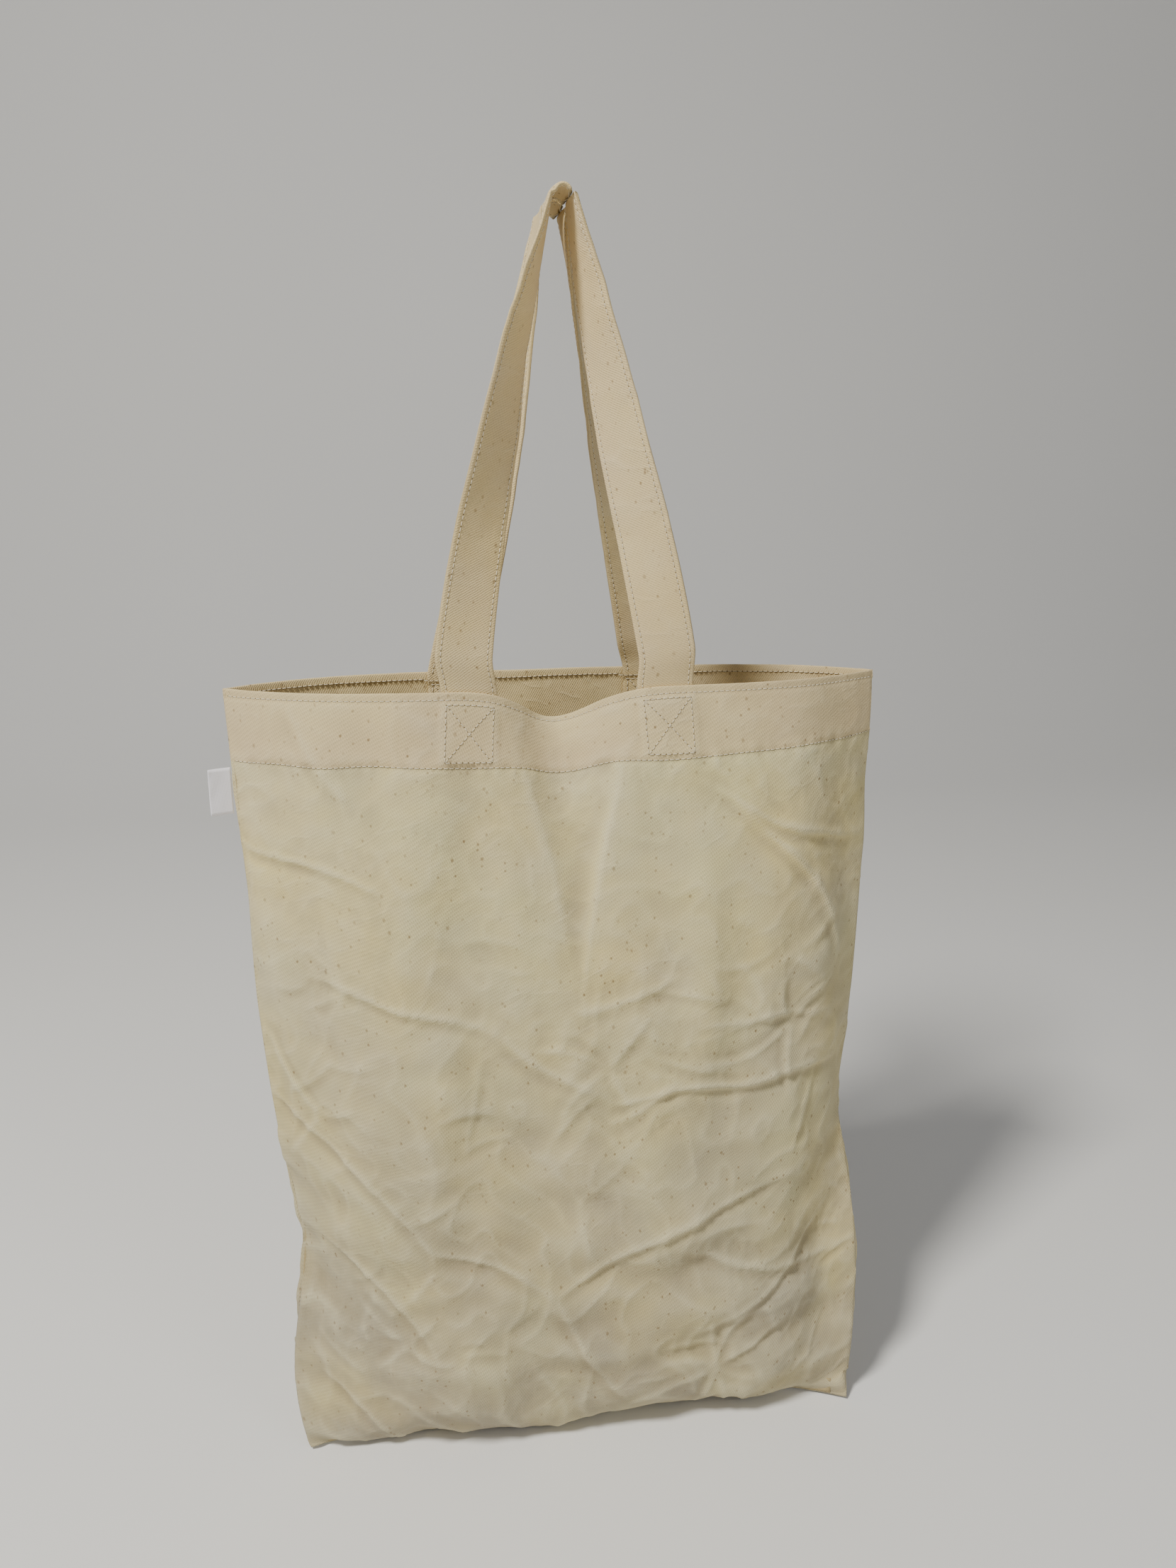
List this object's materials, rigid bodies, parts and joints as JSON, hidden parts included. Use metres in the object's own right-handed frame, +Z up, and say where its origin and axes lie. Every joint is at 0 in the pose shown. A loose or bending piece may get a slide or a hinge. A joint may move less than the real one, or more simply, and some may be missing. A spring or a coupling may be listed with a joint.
{
  "type": "tote bag",
  "caption": "Open-top canvas tote bag with a turned-down hem, long sewn-in strap handles and a folded label in the side seam, standing upright and filled out.",
  "frame": {"origin": "on the table under the base, on the bag's middle plane from side to side, between the bottom seam and the back edge of the base", "axes": "+Z up from the table to the hanging point of the handles, front panel faces -Y, +X to the right seen from the front"},
  "size_m": [0.3766, 0.1121, 0.6966],
  "materials": {
    "canvas_panel": "unbleached cotton twill with small brown seed flecks, matt",
    "canvas_hem": "the same twill turned to the inside, matt",
    "seam_allowance": "raw twill edges bound with overlock thread, matt",
    "strap_canvas": "the same twill folded to a strap, cut across the roll, matt",
    "strap_end": "the strap's sewn-in end, matt",
    "sewing_thread": "matt cotton sewing thread in the cloth's own colour",
    "label_tape": "blank white woven tape with a slight sheen"
  },
  "bodies": {
    "bag": {"front_panel": "canvas_panel", "back_panel": "canvas_panel", "front_hem": "canvas_hem", "back_hem": "canvas_hem", "side_seam_left": "seam_allowance", "side_seam_right": "seam_allowance", "bottom_seam": "seam_allowance", "front_handle_end_left": "strap_end", "front_handle_end_right": "strap_end", "back_handle_end_left": "strap_end", "back_handle_end_right": "strap_end", "front_rim_stitching": "sewing_thread", "front_hem_stitching": "sewing_thread", "back_rim_stitching": "sewing_thread", "back_hem_stitching": "sewing_thread", "front_box_stitch_left": "sewing_thread", "front_box_stitch_right": "sewing_thread", "back_box_stitch_left": "sewing_thread", "back_box_stitch_right": "sewing_thread"},
    "front_handle": {"front_handle": "strap_canvas", "front_handle_outer_stitching": "sewing_thread", "front_handle_inner_stitching": "sewing_thread"},
    "back_handle": {"back_handle": "strap_canvas", "back_handle_outer_stitching": "sewing_thread", "back_handle_inner_stitching": "sewing_thread"},
    "side_label": {"side_label": "label_tape"}
  },
  "joints": [
    {"name": "front_handle_hinge", "type": "hinge", "parent": "bag", "child": "front_handle", "pos_m": [0, -0.0252, 0.445], "axis": [1, 0, 0], "range_deg": [0, 160]},
    {"name": "back_handle_hinge", "type": "hinge", "parent": "bag", "child": "back_handle", "pos_m": [0, 0.0492, 0.445], "axis": [-1, 0, 0], "range_deg": [0, 160]},
    {"name": "side_label_hinge", "type": "hinge", "parent": "bag", "child": "side_label", "pos_m": [-0.18307, 0.00775, 0.39], "axis": [0, 0, 1], "range_deg": [-70, 70], "stiffness_Nm_per_rad": 0.0005}
  ]
}
